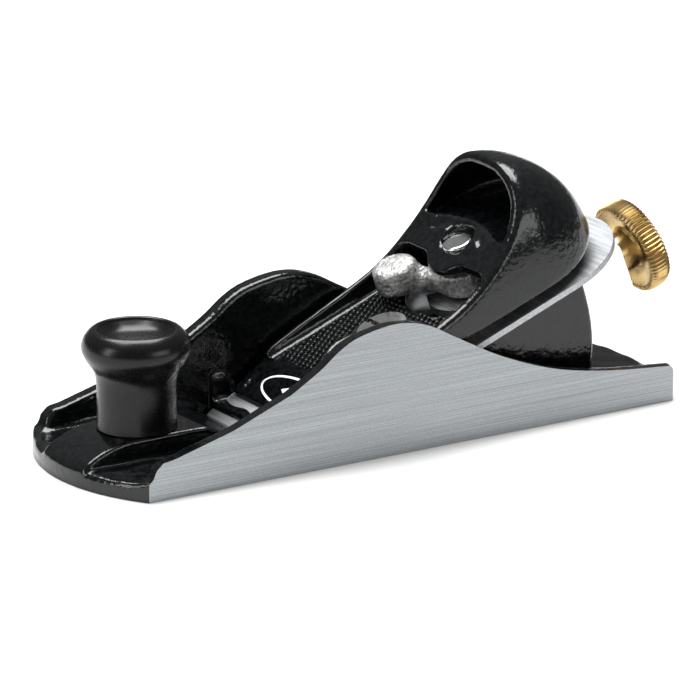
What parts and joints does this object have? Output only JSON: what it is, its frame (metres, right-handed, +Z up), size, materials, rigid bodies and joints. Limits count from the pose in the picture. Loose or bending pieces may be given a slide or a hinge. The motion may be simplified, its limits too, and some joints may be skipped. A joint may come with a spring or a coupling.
{
  "type": "block plane",
  "caption": "Low-angle hand plane with a cast body, front knob, hooded lever cap with cam lever, and a wheel-driven bevel-up blade.",
  "frame": {"origin": "on the sole, midway between the tips of toe and heel, on the centre line", "axes": "+X from toe to heel, +Z up out of the sole, +Y across the body"},
  "size_m": [0.1631, 0.051, 0.0587],
  "materials": {
    "black_enamel": "gloss",
    "bright_steel": "satin",
    "black_plastic": "gloss",
    "chrome_plate": "polished",
    "turned_brass": "satin",
    "cast_zinc": "matte"
  },
  "bodies": {
    "plane_body": {"body_casting": "black_enamel", "front_knob": "black_plastic", "knob_stud": "bright_steel", "cap_screw": "bright_steel", "lateral_pivot": "bright_steel", "pivot_washer": "bright_steel"},
    "lateral_lever": {"lateral_lever": "chrome_plate"},
    "depth_screw": {"spindle": "bright_steel", "adjusting_wheel": "turned_brass", "thrust_washer": "bright_steel", "retaining_clip": "bright_steel"},
    "blade": {"blade": "bright_steel", "feed_nut": "bright_steel"},
    "lever_cap": {"lever_cap": "black_enamel", "cam_pin": "bright_steel", "pressure_disc": "bright_steel", "cam_washer": "bright_steel"},
    "cam_lever": {"cam_lever": "cast_zinc"}
  },
  "joints": [
    {"name": "lateral_swing", "type": "hinge", "parent": "plane_body", "child": "lateral_lever", "pos_m": [0.02235, 0, 0.01938], "axis": [-0.3584, 0, 0.9336], "range_deg": [-0.8, 0.8]},
    {"name": "depth_turn", "type": "hinge", "parent": "lateral_lever", "child": "depth_screw", "pos_m": [0.07071, 0, 0.02734], "axis": [0.9336, 0, 0.3584], "range_deg": [-289, 1081]},
    {"name": "blade_feed", "type": "slide", "parent": "lateral_lever", "child": "blade", "axis": [0.9336, 0, 0.3584], "range_m": [-0.0008, 0.003]},
    {"name": "cap_slide", "type": "slide", "parent": "plane_body", "child": "lever_cap", "axis": [0.9336, 0, 0.3584], "range_m": [0, 0.008]},
    {"name": "cam_swing", "type": "hinge", "parent": "lever_cap", "child": "cam_lever", "pos_m": [0.03365, 0, 0.02844], "axis": [-0.3584, 0, 0.9336], "range_deg": [0, 83]}
  ],
  "couplings": [
    {"joint": "depth_turn", "follows": "blade_feed", "rad_per_m": 6283.2}
  ]
}
